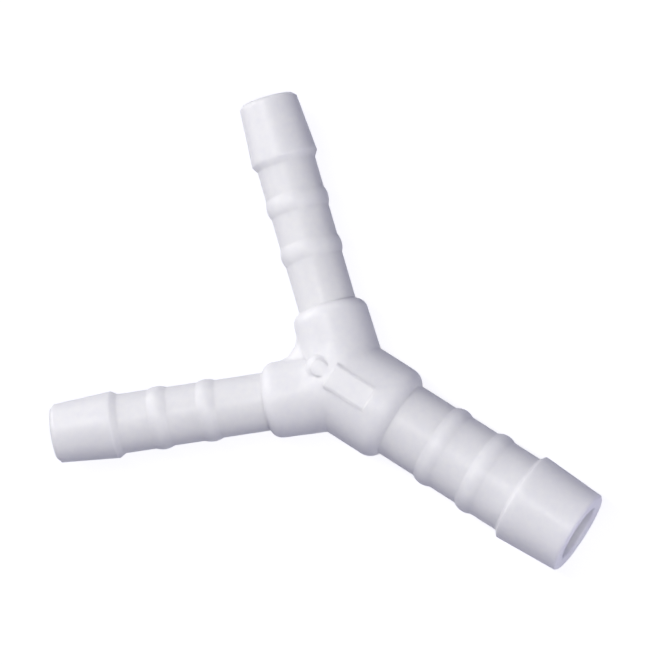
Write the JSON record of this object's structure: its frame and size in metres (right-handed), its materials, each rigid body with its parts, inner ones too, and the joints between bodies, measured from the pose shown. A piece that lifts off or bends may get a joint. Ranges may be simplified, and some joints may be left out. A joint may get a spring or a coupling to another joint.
{
  "type": "tubing y connector",
  "caption": "Moulded plastic Y connector that joins a larger flexible tube to two smaller ones through beaded, tapered hose tails.",
  "frame": {"origin": "middle of the outline, on the level of the lowest point of the stem's collar", "axes": "+Y along the stem axis from its mouth towards the two branches, +X across the branches, +Z out of the face with the marking panel"},
  "size_m": [0.0438, 0.052, 0.0099],
  "materials": {
    "body": "natural milky white, satin as moulded"
  },
  "bodies": {
    "root": {"y_connector": "body"}
  },
  "joints": []
}
